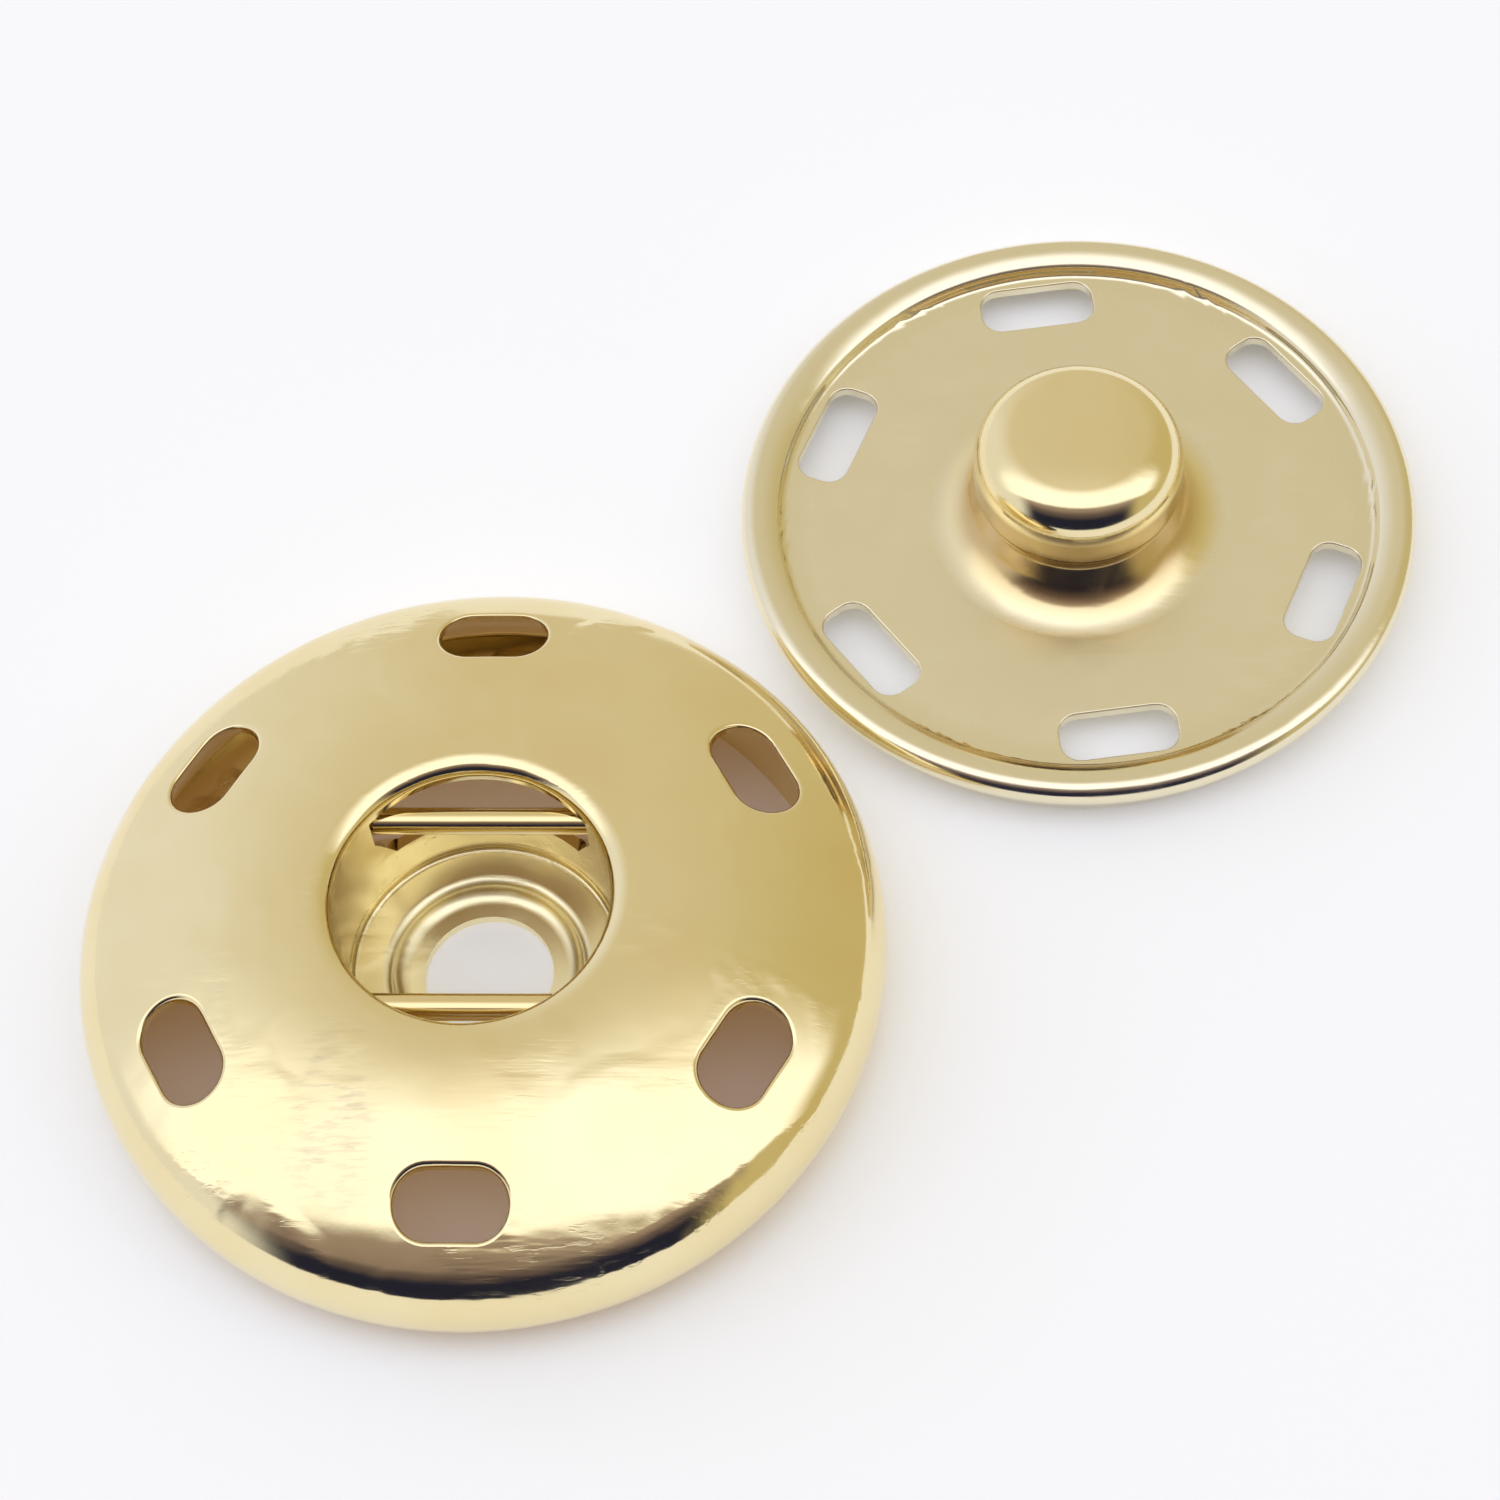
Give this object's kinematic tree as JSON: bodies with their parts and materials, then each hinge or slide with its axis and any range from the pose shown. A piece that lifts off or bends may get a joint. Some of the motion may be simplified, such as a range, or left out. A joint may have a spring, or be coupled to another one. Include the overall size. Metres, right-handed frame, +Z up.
{
  "type": "sew-on snap fastener",
  "caption": "Sew-on metal press stud pair: a domed socket half with a wire spring across its mouth, and a dished stud half with a hollow mushroom stud, each with obround sewing slots.",
  "frame": {"origin": "middle of the bounding box of the two halves, on the surface that both stand on", "axes": "+Z up, the way both halves face; +X along the two straight legs of the socket's spring"},
  "size_m": [0.0422, 0.0402, 0.006],
  "materials": {
    "socket_sheet": "pale gold plating over drawn brass, polished, with fine handling scratches",
    "spring_wire": "gold-plated spring wire, smooth",
    "stud_sheet": "pale gold plating over drawn brass, polished"
  },
  "bodies": {
    "root": {"socket_shell": "socket_sheet", "socket_spring": "spring_wire", "stud_plate": "stud_sheet"}
  },
  "joints": []
}
